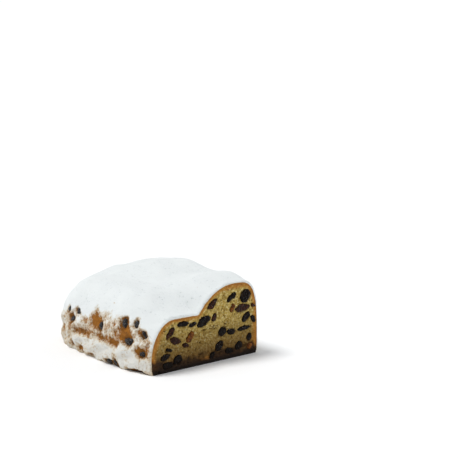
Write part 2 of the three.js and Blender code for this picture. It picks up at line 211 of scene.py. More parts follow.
def wrapped(name, places, materials, inner_rows=0, **marks):
    """A grid laid over places, an array of rows of points, with its meeting edges and poles closed.

    The first rows may have the second material. Each mark is one number a point, kept as an attribute.
    """
    rows, columns = places.shape[:2]
    bpy.ops.object.select_all(action="DESELECT")
    bpy.ops.mesh.primitive_grid_add(x_subdivisions=columns - 1, y_subdivisions=rows - 1, size=MM)
    piece = bpy.context.object
    piece.name = piece.data.name = name
    for material in materials:
        piece.data.materials.append(material)
    set_points(piece, places.reshape(-1, 3))
    second = np.arange(len(piece.data.polygons)) < inner_rows * (columns - 1)
    piece.data.polygons.foreach_set("material_index", second.astype(np.int32))
    for mark, values in marks.items():
        layer = piece.data.attributes.new(mark, "FLOAT", "POINT")
        layer.data.foreach_set("value", np.asarray(values, np.float32).ravel())
    bpy.ops.object.mode_set(mode="EDIT")
    bpy.ops.mesh.select_all(action="SELECT")
    bpy.ops.mesh.remove_doubles(threshold=WELD * MM)
    bpy.ops.mesh.normals_make_consistent(inside=False)
    bpy.ops.object.mode_set(mode="OBJECT")
    bpy.ops.object.shade_smooth_by_angle(angle=np.radians(SHARP_ANGLE))
    return piece


def waves(points, size, octaves, seed):
    """Soft noise, about -1 to 1, at each point; size is the width of a swell in mm."""
    return np.array([noise.fractal(Vector(p) / size + Vector((seed, seed, seed)), 1.0, 2.0, octaves)
                     for p in points])


def noise_over(points, size, octaves, seed):
    """Soft noise as waves() gives it, for rows of points."""
    return waves(points.reshape(-1, 3), size, octaves, seed).reshape(points.shape[:-1])


def layered(points, layers):
    """Layers of soft noise on rows of points, each with its strength, swell width, octaves and seed."""
    return sum(strength * noise_over(points, size, octaves, seed) for strength, size, octaves, seed in layers)


def cells(points, size, seed):
    """Distance from each point to the middle of the nearest cell, in mm, for cells of about this size."""
    shift = Vector((seed, seed, seed))
    return np.array([noise.voronoi(Vector(p) / size + shift)[0][0] for p in points]) * size


# ---- The crust and the crumb ----

CRAG_DEPTH, CRAG_WIDTH = 0.55, 15.0
CRAG_START = (2.0, 14.0)  # distances behind the cut over which the crags begin
CRAG_FADE = (26.0, 40.0)  # heights over which they die away
CRUST_WRINKLES = [(0.3, 3.4, 3, 61.0), (0.16, 1.3, 3, 63.0)]  # strength, swell width, octaves, seed
SMOOTHED = 0.6  # the share of the wrinkles that sugar fills
FACE_MIDDLE = np.array([17.9, 23.8])  # y and z; a raisin covers the point where the face's rows meet
FACE_ROWS = 104  # over the cut face, from its middle to its rim
LOAF_COLUMNS = 440  # round the loaf
STRAIGHT_ROWS, FAN_ROWS = 60, 56  # along it

# Angles round the spine: 0 is back, 90 degrees up, 180 front. The first and last meet underneath.
ANGLE_START, ANGLE_END = np.radians(-90), np.radians(270)
FINE_ANGLES = 3001  # steps in which the outline is measured
FRONT_FLANK = np.radians([152, 207])
BACK_FLANK_ARC = np.radians([-22, 12])
ABOVE_TABLE = np.radians([-28, 215])
FLANK_WEIGHT, TOP_WEIGHT, BASE_WEIGHT = 1.7, 1.0, 0.45  # how close together the loaf's points lie
COAT_FLANK_WEIGHT = 1.6


def crags(points):
    """Knobbly crust: two crossed sets of waves, strongest low down on the flanks."""
    x, y, z = np.moveaxis(points, -1, 0)
    depth = CRAG_DEPTH * smooth(CUT_X - x, *CRAG_START) * (1 - smooth(z, *CRAG_FADE))
    x = x - CUT_X + LENGTH / 2
    wave = 2 * np.pi / CRAG_WIDTH
    return depth * (np.sin(x * wave + z * 0.3) + np.cos(z * wave * 1.2 - x * 0.2 + y * 0.1))


def skin_sheet(origin, direction, lift):
    """Points of the skin where rays leave the dough, lifted by so many mm, cut off at knife and table."""
    points = skin_points(origin, direction)
    normals = skin_normal(points)
    points = points + normals * (lift + crags(points))[..., None]
    points[..., 0] = np.minimum(points[..., 0], CUT_X)
    low = points[..., 2] < 0
    share = origin[..., 2] / np.where(low, origin[..., 2] - points[..., 2], 1)
    return np.where(low[..., None], origin + (points - origin) * share[..., None], points)


def spread_angles(count, weight):
    """Angles round the spine, close together where the weight is high."""
    fine = np.linspace(ANGLE_START, ANGLE_END, FINE_ANGLES)
    ring = skin_points(*spine_rays(0.0, fine))
    ring[:, 2] = np.maximum(ring[:, 2], 0)
    steps = np.linalg.norm(np.diff(ring, axis=0), axis=1) * weight((fine[1:] + fine[:-1]) / 2)
    run = np.concatenate([[0], np.cumsum(steps)])
    return np.interp(np.linspace(0, run[-1], count), run, fine)


def within(angle, arc):
    """Whether an angle lies in an arc."""
    return (angle > arc[0]) & (angle < arc[1])


def on_flanks(angle):
    """Whether an angle points at the front or the back flank."""
    return within(angle, FRONT_FLANK) | within(angle, BACK_FLANK_ARC)


def loaf_weight(angle):
    """How fine the loaf's mesh is: finest on the flanks, coarse underneath."""
    upper = np.where(on_flanks(angle), FLANK_WEIGHT, TOP_WEIGHT)
    return np.where(within(angle, ABOVE_TABLE), upper, BASE_WEIGHT)


def length_rows(straight_rows, fan_rows):
    """Places along the loaf for rings that lie evenly over the straight and the rounded part."""
    straight = np.linspace(0, FAN_START, straight_rows)
    return np.concatenate([straight, np.linspace(FAN_START, 1, fan_rows + 1)[1:]])


# ---- The sugar's form ----

COAT_THICKNESS, COAT_LUMPS = 1.3, 0.45
THINNEST_COAT = 0.9  # the hollows between its lumps keep this much
SUGAR_GAP = 0.35  # added to the coat, which lies this far off the loaf as a solid
SUGAR_ROOT = 1.2  # how far a sheet of sugar reaches into the crust
SUGAR_SWELL = 0.7  # below 1, so that a sheet is nearly full soon after its edge
SUGAR_GRAINS = [(0.12, 2.4, 3, 71.0), (0.08, 6, 2, 73.0)]  # strength, swell width, octaves, seed
THINNEST_SHEET = 0.1  # where sugar dives under the crust, its two sides stay this far apart
CUT_STEP = 0.3  # the knife leaves the sugar this far behind the crumb
CUT_CRUMBLES = 0.5  # and its edge has crumbled by up to this much more
CUT_ROUNDING, CUT_BODY = 1.6, 0.35  # the edge is rounded over this length, from this share of its body
CUT_ROOT = 0.3  # at the cut a sheet has this share of its root
# Where the coat ends, in degrees round the spine. The lists run from the cut to the far end.
COAT_FRONT_EDGE = [168.0, 162.5, 158.5, 155.5, 157.5, 164.0, 163.0, 166.0, 180.0]
COAT_BACK_EDGE = [-9.0, 2.0, 7.0, 0.0, 9.0, 3.0, 10.0, 6.0, 0.0]
# Low drifts: side -1 front or 1 back, first and last place behind the cut, and heights along them.
DRIFTS = {
    "sugar_drift_front_near": {"side": -1, "span": (3, 39), "low": (3.4, 3.2, 4.2, 5.5),
                               "high": (10.5, 11.8, 16.2, 15)},
    "sugar_drift_front_far": {"side": -1, "span": (42, 104), "low": (5.6, 4.8, 5.4, 6.6, 8.4),
                              "high": (14.6, 15.6, 16, 15, 12.2)},
    "sugar_drift_back": {"side": 1, "span": (30, 96), "low": (7, 5, 5.5, 7), "high": (12, 14, 13, 11.5)},
}
# Where the crust shows bare: side, mm behind the cut, height, half length, half height, how bare.
BARE_PATCHES = [
    (-1, 72, 32, 8.5, 6, 1.7),
    (-1, 73, 40, 4, 3, 0.7),
    (-1, 82, 18.2, 7, 3.6, 1.4),
    (-1, 96, 17.6, 6, 2.8, 1.1),
    (-1, 63, 19.5, 7, 3, 1.4),
    (-1, 52, 20.5, 4, 2.2, 1.1),
    (-1, 42, 19.5, 6, 3, 1.6),
    (-1, 34, 39.5, 4.5, 3.5, 1.3),
    (-1, 32, 34, 3, 4, 0.8),
    (-1, 29.5, 28, 6.5, 5.5, 1.8),
    (-1, 22.5, 39.5, 3, 3, 1.1),
    (-1, 17, 32, 3, 2.5, 1.0),
    (-1, 13, 17.3, 3.6, 2.6, 1.6),
    (-1, 53, 47.3, 3.2, 1.2, 1.4),
    (-1, 45, 33, 2, 5, 0.7),
    (-1, 42, 27, 2.5, 2.5, 0.9),
    (-1, 54, 28, 3, 5, 0.5),
    (-1, 88, 29, 5, 3, 0.8),
    (-1, 103, 34, 3, 3, 0.9),
    (-1, 110, 26.5, 3, 5, 0.9),
    (-1, 125, 15.5, 3, 3, 1.0),
    (-1, 112, 18.3, 2.5, 3.5, 0.9),
    (-1, 103, 18, 2.5, 4, 1.0),
    (-1, 107, 6.7, 3, 2.6, 1.4),
    (-1, 93, 4.6, 6, 2.6, 1.5),
    (-1, 77.5, 2.8, 4, 1.8, 1.0),
    (-1, 43, 3.2, 9, 2.2, 1.4),
    (-1, 20, 3, 6, 2.6, 1.3),
    (-1, 15, 1, 10, 2, 1.3),
    (-1, 4.5, 22, 2.5, 8, 0.45),
    (1, 24, 22, 7, 5, 1.7),
    (1, 33, 30, 4, 4, 1.2),
    (1, 50, 26, 6, 5, 1.6),
    (1, 60, 18, 9, 3, 1.3),
    (1, 78, 20, 8, 3, 1.4),
    (1, 92, 27, 7, 5, 1.7),
    (1, 104, 17, 5, 4, 1.1),
    (1, 40, 4, 8, 2.4, 1.3),
    (1, 12, 5, 7, 2.4, 1.2),
    (1, 86, 4, 9, 2.2, 1.3),
]
RAISIN_HALO = 3.6  # crust is bare round a raisin out to about this many mm from its middle
RAISIN_BARENESS = 2.2
RAGGED_WIDTH = 14.0  # the coat's edge is broken up over this width


def sugar_lumps(points):
    """What the coat's lumps and dents add to its thickness."""
    x, y = points[..., 0] - CUT_X + LENGTH / 2, points[..., 1]
    broad = np.sin(x / 7.5 + y / 19) * np.cos(y / 8.5 - x / 23)
    dents = noise_over(points, 13, 2, 91.0)
    return COAT_LUMPS * (broad + 0.3 * np.sin((x + y) / 4.6) + dents)


def node_middle(node):
    """The middle of a CAD piece's box, in the form's own place."""
    low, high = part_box(node)
    return np.array((low + high) / 2 / MM) - [0, MIDDLE_Y, 0]


def near_fruit(points):
    """1 at a crust raisin's middle, fading out over a few mm."""
    share = np.zeros(points.shape[:-1])
    for node in CRUST_RAISINS:
        away = np.linalg.norm(points - node_middle(node), axis=-1) / RAISIN_HALO
        share = np.maximum(share, np.exp(-(away**2)))
    return share


def side_of(points):
    """-1 on the front half of the loaf, 1 on the back half."""
    return np.where(points[..., 1] < SPINE_Y, -1, 1)


def sugar_depth(u, angle, points):
    """How thick the coat lies on the skin, as a share of its full body. Below 0 the crust is bare."""
    behind, height = CUT_X - points[..., 0], points[..., 2]
    radius = np.linalg.norm(points[..., 1:] - [SPINE_Y, SPINE_Z], axis=-1)
    past_front = np.radians(along(COAT_FRONT_EDGE, u)) - angle
    past_back = angle - np.radians(along(COAT_BACK_EDGE, u))
    inside = np.minimum(past_front, past_back) * radius
    ragged = 1 - smooth(inside, 0, RAGGED_WIDTH)

    # Swells of three sizes break up the coat's edge. Inside it, and along the top of the cut, it is full.
    depth = 0.7 + 0.3 * noise_over(points * [1, 1, 0.4], 9, 2, 3.0) + 0.45 * noise_over(points, 5.5, 3, 7.0)
    depth = (depth + 0.4 * noise_over(points, 2.2, 3, 11.0)) * ragged
    depth += 1.5 * smooth(inside, -13, 3) + 0.5 * smooth(height, 25, 45) * (1 - smooth(behind, 0.8, 3.5))
    for drift in DRIFTS.values():
        depth += 0.5 * drift_band(drift, points, 2.5)
    for side, patch_behind, patch_height, half_length, half_height, bareness in BARE_PATCHES:
        away = ((behind - patch_behind) / half_length) ** 2 + ((height - patch_height) / half_height) ** 2
        depth -= np.where(side_of(points) == side, bareness * np.exp(-away), 0)
    return depth - RAISIN_BARENESS * near_fruit(points)


def drift_band(drift, points, wider=0.0):
    """1 in the middle of a low drift of sugar, 0 away from it; it may be made wider by so many mm."""
    behind, height = CUT_X - points[..., 0], points[..., 2]
    start, end = drift["span"]
    t = (behind - start) / (end - start)
    low, high = along(drift["low"], t) - wider, along(drift["high"], t) + wider
    band = smooth(height, low - 1.5, low + 1.5) * (1 - smooth(height, high - 2, high + 1.5))
    band = band * smooth(behind, start - 3, start + 2) * (1 - smooth(behind, end - 4, end + 3))
    return np.where(side_of(points) == drift["side"], band, 0)


# ---- Finishes ----

def colour(code):
    """An sRGB hex colour as linear light."""
    parts = [int(code[i:i + 2], 16) / 255 for i in (1, 3, 5)]
    return tuple(p / 12.92 if p <= 0.04045 else ((p + 0.055) / 1.055) ** 2.4 for p in parts) + (1.0,)


def add(tree, kind, feeds=None, **settings):
    """A node of one kind, with its settings, and each input fed by a socket or a value."""
    made = tree.nodes.new("ShaderNode" + kind)
    for name, value in settings.items():
        setattr(made, name, value)
    for name, value in (feeds or {}).items():
        if isinstance(value, bpy.types.NodeSocket):
            tree.links.new(value, made.inputs[name])
        else:
            made.inputs[name].default_value = value
    return made


def new_material(name):
    """A new material with its node tree and its shader."""
    material = bpy.data.materials.new(name)
    material.use_nodes = True
    return material, material.node_tree, material.node_tree.nodes["Principled BSDF"]


FIRST, SECOND, MIXED = 6, 7, 2  # the colour sockets of a Mix node


def per_mm(size):
    """The scale of a pattern whose features are this many mm wide."""
    return 1 / (size * MM)


def bare_share(tree, place, depth):
    """How much crust shows between grains of sugar 1 to 2 mm across, where the sugar is this deep."""
    dust = add(tree, "TexNoise", {"Vector": place, "Scale": per_mm(1.7), "Detail": 3.0, "Roughness": 0.6})
    cover = add(tree, "Math", {0: dust.outputs["Fac"], 1: 3.0, 2: depth}, operation="MULTIPLY_ADD")
    return add(tree, "MapRange", {"Value": cover.outputs[0], "From Min": 2.5, "From Max": 1.4}).outputs[0]


def crust_tone(tree, place):
    """The bare crust's brown: golden to dark in soft patches, darkest at the base and darker
    round the raisins. Also its fine grain.
    """
    height = add(tree, "SeparateXYZ", {0: place}).outputs["Z"]
    mottle = add(tree, "TexNoise", {"Vector": place, "Scale": per_mm(7), "Detail": 5.0, "Roughness": 0.6})
    fine = add(tree, "TexNoise", {"Vector": place, "Scale": per_mm(1.6), "Detail": 6.0, "Roughness": 0.7})
    brown = add(tree, "MapRange", {"Value": mottle.outputs["Fac"], "From Min": 0.35, "From Max": 0.65})
    tone = add(tree, "Mix", {0: brown.outputs[0], FIRST: colour("#9e641f"), SECOND: colour("#6f4516")},
               data_type="RGBA")
    dark = add(tree, "MapRange", {"Value": fine.outputs["Fac"], "From Min": 0.5, "From Max": 0.75})
    tone = add(tree, "Mix", {0: dark.outputs[0], FIRST: tone.outputs[MIXED], SECOND: colour("#5c3818")},
               data_type="RGBA")
    low = add(tree, "MapRange", {"Value": height, "From Min": 3.5 * MM, "From Max": 0.2 * MM})
    tone = add(tree, "Mix", {0: low.outputs[0], FIRST: tone.outputs[MIXED], SECOND: colour("#2c190c")},
               data_type="RGBA")
    fruit = add(tree, "Attribute", attribute_name="near_fruit").outputs["Fac"]
    darker_round_fruit = add(tree, "MapRange", {"Value": fruit, "From Min": 0.05, "From Max": 0.6, "To Max": 0.75})
    tone = add(tree, "Mix", {0: darker_round_fruit.outputs[0], FIRST: tone.outputs[MIXED], SECOND: colour("#3d2a10")},
               data_type="RGBA")
    return tone.outputs[MIXED], fine


# Icing sugar: finely ground sucrose sifted on in a thick, dull coat. It scatters nearly all light, shows
# no gloss, and its surface is powdery with soft grains and small pits.
def icing_sugar():
    material, tree, shader = new_material("icing_sugar_powder")
    place = add(tree, "TexCoord").outputs["Object"]
    depth = add(tree, "Attribute", attribute_name="depth").outputs["Fac"]
    height = add(tree, "SeparateXYZ", {0: place}).outputs["Z"]
    grain = add(tree, "TexNoise", {"Vector": place, "Scale": per_mm(1.2), "Detail": 5.0, "Roughness": 0.7})
    broad = add(tree, "TexNoise", {"Vector": place, "Scale": per_mm(14), "Detail": 3.0})
    thin = add(tree, "MapRange", {"Value": depth, "From Min": 1.3, "From Max": 0.4, "To Max": 0.55})
    tone = add(tree, "Mix", {0: broad.outputs["Fac"], FIRST: colour("#e5e8e7"), SECOND: colour("#dde1e1")},
               data_type="RGBA")
    # Below about 22 mm the sugar is painted a greyer beige: painted shade on the low flanks and the drifts.
    low = add(tree, "MapRange", {"Value": height, "From Min": 22 * MM, "From Max": 12 * MM, "To Max": 0.6})
    tone = add(tree, "Mix", {0: low.outputs[0], FIRST: tone.outputs[MIXED], SECOND: colour("#d2cdc2")},
               data_type="RGBA")
    tone = add(tree, "Mix", {0: thin.outputs[0], FIRST: tone.outputs[MIXED], SECOND: colour("#d0bd98")},
               data_type="RGBA")
    dusty = add(tree, "MapRange", {"Value": depth, "From Min": 0.1, "From Max": 0.7})
    brown = add(tree, "Mix", {0: dusty.outputs[0], FIRST: crust_tone(tree, place)[0],
                              SECOND: colour("#a37d44")}, data_type="RGBA")
    tone = add(tree, "Mix", {0: bare_share(tree, place, depth), FIRST: tone.outputs[MIXED],
                             SECOND: brown.outputs[MIXED]}, data_type="RGBA")
    # Small pits, gathered in broad patches, are painted grey: painted shade in the dents that the bump also
    # makes.
    pits = add(tree, "TexNoise", {"Vector": place, "Scale": per_mm(1.9), "Detail": 3.0, "Roughness": 0.6})
    pit = add(tree, "MapRange", {"Value": pits.outputs["Fac"], "From Min": 0.6, "From Max": 0.7})
    group = add(tree, "MapRange", {"Value": broad.outputs["Fac"], "From Min": 0.38, "From Max": 0.55,
                                   "To Max": 0.5})
    painted_pit_shade = add(tree, "Math", {0: pit.outputs[0], 1: group.outputs[0]}, operation="MULTIPLY")
    tone = add(tree, "Mix", {0: painted_pit_shade.outputs[0], FIRST: tone.outputs[MIXED], SECOND: colour("#aab2b2")},
               data_type="RGBA")
    tree.links.new(tone.outputs[MIXED], shader.inputs["Base Color"])
    relief = add(tree, "Math", {0: painted_pit_shade.outputs[0], 1: -0.8, 2: grain.outputs["Fac"]},
                 operation="MULTIPLY_ADD")
    bump = add(tree, "Bump", {"Height": relief.outputs[0], "Strength": 0.8, "Distance": 0.45 * MM})
    tree.links.new(bump.outputs[0], shader.inputs["Normal"])
    shader.inputs["Roughness"].default_value = 0.95
    shader.inputs["Specular IOR Level"].default_value = 0.2
    shader.inputs["Subsurface Weight"].default_value = 0.15
    shader.inputs["Subsurface Radius"].default_value = (0.8, 0.8, 0.8)
    shader.inputs["Subsurface Scale"].default_value = 1.0 * MM
    return material


# Stollen crust: butter-rich yeast dough baked to a thin golden-brown skin, buttered and dusted. It is dull
# and dry, browner in soft patches, darkest low down and round the raisins, with grains of sugar on it.
def baked_crust():
    material, tree, shader = new_material("baked_buttered_crust")
    place = add(tree, "TexCoord").outputs["Object"]
    depth = add(tree, "Attribute", attribute_name="depth").outputs["Fac"]
    tone, fine = crust_tone(tree, place)
    tone = add(tree, "Mix", {0: bare_share(tree, place, depth), FIRST: colour("#d6c6a0"), SECOND: tone},
               data_type="RGBA")
    tree.links.new(tone.outputs[MIXED], shader.inputs["Base Color"])
    bump = add(tree, "Bump", {"Height": fine.outputs["Fac"], "Strength": 0.8, "Distance": 0.5 * MM})
    tree.links.new(bump.outputs[0], shader.inputs["Normal"])
    shader.inputs["Roughness"].default_value = 0.75
    shader.inputs["Specular IOR Level"].default_value = 0.15
    return material


# Cut crumb of a quark and butter stollen: dense, short and moist, pale straw yellow with fine pores, browner
# towards the base (partly where the dough lay on the tin, mostly painted shade), with painted shade in its
# pores, inside a thin golden rind.
def cut_crumb():
    material, tree, shader = new_material("cut_butter_crumb")
    place = add(tree, "TexCoord").outputs["Object"]
    rind = add(tree, "Attribute", attribute_name="rind").outputs["Fac"]
    hole = add(tree, "Attribute", attribute_name="hole").outputs["Fac"]
    socket = add(tree, "Attribute", attribute_name="socket").outputs["Fac"]
    height = add(tree, "SeparateXYZ", {0: place}).outputs["Z"]
    patch = add(tree, "TexNoise", {"Vector": place, "Scale": per_mm(6), "Detail": 4.0, "Roughness": 0.6})
    grain = add(tree, "TexNoise", {"Vector": place, "Scale": per_mm(1.9), "Detail": 5.0, "Roughness": 0.7})
    light = add(tree, "MapRange", {"Value": patch.outputs["Fac"], "From Min": 0.35, "From Max": 0.65})
    tone = add(tree, "Mix", {0: light.outputs[0], FIRST: colour("#b79e55"), SECOND: colour("#a4883e")},
               data_type="RGBA")
    pale = add(tree, "MapRange", {"Value": grain.outputs["Fac"], "From Min": 0.53, "From Max": 0.68})
    tone = add(tree, "Mix", {0: pale.outputs[0], FIRST: tone.outputs[MIXED], SECOND: colour("#e0d4a0")},
               data_type="RGBA")
    # Where the grain dips, and in the pores, cavities and the hollows round the fruit, the crumb is painted
    # darker: painted shade.
    grain_hollow_shade = add(tree, "MapRange", {"Value": grain.outputs["Fac"], "From Min": 0.47, "From Max": 0.34})
    tone = add(tree, "Mix", {0: grain_hollow_shade.outputs[0], FIRST: tone.outputs[MIXED], SECOND: colour("#5a421a")},
               data_type="RGBA")
    shade = add(tree, "Math", {0: hole, 1: socket}, operation="MAXIMUM")
    shade = add(tree, "Math", {0: shade.outputs[0], 1: 0.7}, operation="MULTIPLY")
    tone = add(tree, "Mix", {0: shade.outputs[0], FIRST: tone.outputs[MIXED], SECOND: colour("#4c3614")},
               data_type="RGBA")
    # Darker towards the base: mostly painted shade, partly a moister crumb low down.
    moist_base_and_shade = add(tree, "MapRange", {"Value": height, "From Min": 38 * MM, "From Max": 8 * MM, "To Max": 0.9})
    tone = add(tree, "Mix", {0: moist_base_and_shade.outputs[0], FIRST: tone.outputs[MIXED], SECOND: colour("#55370f")},
               data_type="RGBA")
    # The rind seen in section: golden for 2 to 4 mm, browner at the very skin and fading into the crumb.
    broad = add(tree, "TexNoise", {"Vector": place, "Scale": per_mm(16), "Detail": 1.0})
    wander = add(tree, "Math", {0: patch.outputs["Fac"], 1: 4.0, 2: -4.6}, operation="MULTIPLY_ADD")
    wander = add(tree, "Math", {0: broad.outputs["Fac"], 1: 5.2, 2: wander.outputs[0]},
                 operation="MULTIPLY_ADD")
    near = add(tree, "Math", {0: rind, 1: wander.outputs[0]}, operation="ADD")
    golden = add(tree, "MapRange", {"Value": near.outputs[0], "From Min": 4.2, "From Max": 1.8,
                                    "To Max": 0.8})
    gold = add(tree, "Mix", {0: pale.outputs[0], FIRST: colour("#a96f26"), SECOND: colour("#c99742")},
               data_type="RGBA")
    tone = add(tree, "Mix", {0: golden.outputs[0], FIRST: tone.outputs[MIXED], SECOND: gold.outputs[MIXED]},
               data_type="RGBA")
    edge = add(tree, "MapRange", {"Value": near.outputs[0], "From Min": 1.6, "From Max": 0.2, "To Max": 0.7})
    tone = add(tree, "Mix", {0: edge.outputs[0], FIRST: tone.outputs[MIXED], SECOND: colour("#8f5722")},
               data_type="RGBA")
    # The base: dark, partly the moist crumb where it lay on the tin and partly painted shade, reaching higher
    # in some places and at the front corner.
    sideways = add(tree, "SeparateXYZ", {0: place}).outputs["Y"]
    corner = add(tree, "MapRange", {"Value": sideways, "From Min": (MIDDLE_Y - 28) * MM,
                                    "From Max": (MIDDLE_Y - 50) * MM, "To Max": 5 * MM})
    lifted = add(tree, "Math", {0: height, 1: corner.outputs[0]}, operation="SUBTRACT").outputs[0]
    climb = add(tree, "TexNoise", {"Vector": place, "Scale": per_mm(11), "Detail": 3.0})
    dark_base_and_shade = add(tree, "Math", {0: climb.outputs["Fac"], 1: -20 * MM, 2: lifted}, operation="MULTIPLY_ADD")
    dark_base_and_shade = add(tree, "MapRange", {"Value": dark_base_and_shade.outputs[0], "From Min": -0.5 * MM, "From Max": -5 * MM,
                                    "To Max": 0.93})
    tone = add(tree, "Mix", {0: dark_base_and_shade.outputs[0], FIRST: tone.outputs[MIXED], SECOND: colour("#261507")},
               data_type="RGBA")
    lowest_base_and_shade = add(tree, "MapRange", {"Value": height, "From Min": 5.5 * MM, "From Max": 2 * MM})
    tone = add(tree, "Mix", {0: lowest_base_and_shade.outputs[0], FIRST: tone.outputs[MIXED], SECOND: colour("#170c05")},
               data_type="RGBA")
    tree.links.new(tone.outputs[MIXED], shader.inputs["Base Color"])
    bump = add(tree, "Bump", {"Height": grain.outputs["Fac"], "Strength": 0.9, "Distance": 0.5 * MM})
    tree.links.new(bump.outputs[0], shader.inputs["Normal"])
    shader.inputs["Roughness"].default_value = 0.7
    shader.inputs["Specular IOR Level"].default_value = 0.15
    shader.inputs["Subsurface Weight"].default_value = 0.1
    shader.inputs["Subsurface Radius"].default_value = (1.0, 0.7, 0.3)
    shader.inputs["Subsurface Scale"].default_value = 1.5 * MM
    return material


# Dried fruit: shrunken, wrinkled skins full of syrup. Raisins are nearly black and shine in small glints,
# sultanas are red-brown and candied peel is a dark amber. In the crust a bloom of sugar dulls them.
def dried_fruit(name, flesh, lit, roughness, shine, bloom):
    material, tree, shader = new_material(name)
    place = add(tree, "TexCoord").outputs["Object"]
    wrinkle = add(tree, "TexNoise", {"Vector": place, "Scale": per_mm(2.2), "Detail": 1.0})
    powder = add(tree, "TexNoise", {"Vector": place, "Scale": per_mm(0.9), "Detail": 4.0, "Roughness": 0.7})
    # The wrinkles' crests take the lighter lit colour and their hollows keep the flesh colour: a painted
    # highlight on the raised folds.
    light = add(tree, "MapRange", {"Value": wrinkle.outputs["Fac"], "From Min": 0.4, "From Max": 0.7})
    tone = add(tree, "Mix", {0: light.outputs[0], FIRST: colour(flesh), SECOND: colour(lit)},
               data_type="RGBA")
    dusty = add(tree, "MapRange", {"Value": powder.outputs["Fac"], "From Min": 0.5, "From Max": 0.75,
                                   "To Max": bloom})
    tone = add(tree, "Mix", {0: dusty.outputs[0], FIRST: tone.outputs[MIXED], SECOND: colour("#b9c0c6")},
               data_type="RGBA")
    tree.links.new(tone.outputs[MIXED], shader.inputs["Base Color"])
    bump = add(tree, "Bump", {"Height": wrinkle.outputs["Fac"], "Strength": 1.0, "Distance": 0.9 * MM})
    tree.links.new(bump.outputs[0], shader.inputs["Normal"])
    shader.inputs["Roughness"].default_value = roughness
    shader.inputs["Specular IOR Level"].default_value = shine
    return material


SUGAR = icing_sugar()
CRUST = baked_crust()
CRUMB = cut_crumb()
RAISIN = dried_fruit("dark_raisin_skin", "#080402", "#170b05", 0.12, 0.07, 0.0)
DUSTED_RAISIN = dried_fruit("sugar_dusted_raisin_skin", "#130e0c", "#211915", 0.35, 0.15, 0.32)
SULTANA = dried_fruit("red_brown_sultana_skin", "#1c0a03", "#3b1a08", 0.12, 0.09, 0.0)
PEEL = dried_fruit("candied_orange_peel", "#4a2404", "#7d490b", 0.2, 0.1, 0.0)


# ---- The loaf: crumb on the cut face, crust on the rest ----

# Torn crumb: small pores and the odd cavity. How far apart, where their edge rises, how deep.
PORE_SPACING, PORE_EDGE, PORE_DEPTH = 2.1, (0.35, 0.8), 0.7
CAVITY_SPACING, CAVITY_EDGE, CAVITY_DEPTH = 7.5, (0.6, 1.4), 1.3
GRAIN_WIDTH, GRAIN_DEPTH = 1.5, 0.4
PROUDEST = -0.2  # the knife leaves no grain further out than this
RIND_RELIEF = 0.25  # the rind is torn a quarter as deeply as the crumb
LOW_RIND = 0.3  # low down the rind counts as this share nearer to the skin, and so is thicker
SOCKET_DEPTH = 0.6  # how far the crumb sinks round a piece of fruit
SOCKET_EDGE = (0.1, 1.1)  # distances from the fruit over which it rises again
FRUIT_SEARCH = 1.5  # fruit further off than this doesn't count


def gap_to(nodes, points, reach):
    """Distance in mm from points to the nearest of some CAD pieces, up to a reach."""
    corners, faces = [], []
    for node in nodes:
        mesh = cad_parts[node].data
        start = len(corners)
        corners.extend(vertex.co[:] for vertex in mesh.vertices)
        faces.extend([start + index for index in face.vertices] for face in mesh.polygons)
    tree = BVHTree.FromPolygons(corners, faces)
    placed = ((points.reshape(-1, 3) + [0, MIDDLE_Y, 0]) * MM).tolist()
    gaps = [tree.find_nearest(place, reach * MM)[3] for place in placed]
    return np.array([reach if gap is None else gap / MM for gap in gaps]).reshape(points.shape[:-1])


def crumb_relief(points):
    """How deep the crumb is torn at points of the cut face, in mm, and how much of that is open hole."""
    spots = points.reshape(-1, 3) * [0, 1, 1]
    warp = np.stack([waves(spots, 3.0, 2, seed) for seed in (21.0, 22.0, 23.0)], -1)
    pores = 1 - smooth(cells(spots + warp * 0.8, PORE_SPACING, 5.0), *PORE_EDGE)
    pores = pores * (waves(spots, 6.0, 2, 41.0) > -0.3)
    cavities = 1 - smooth(cells(spots + warp * 1.6, CAVITY_SPACING, 9.0), *CAVITY_EDGE)
    grain = waves(spots, GRAIN_WIDTH, 4, 31.0)
    deep = PORE_DEPTH * pores + CAVITY_DEPTH * cavities + GRAIN_DEPTH * grain
    shape = points.shape[:-1]
    return deep.reshape(shape), np.clip(0.6 * pores + cavities, 0, 1).reshape(shape)


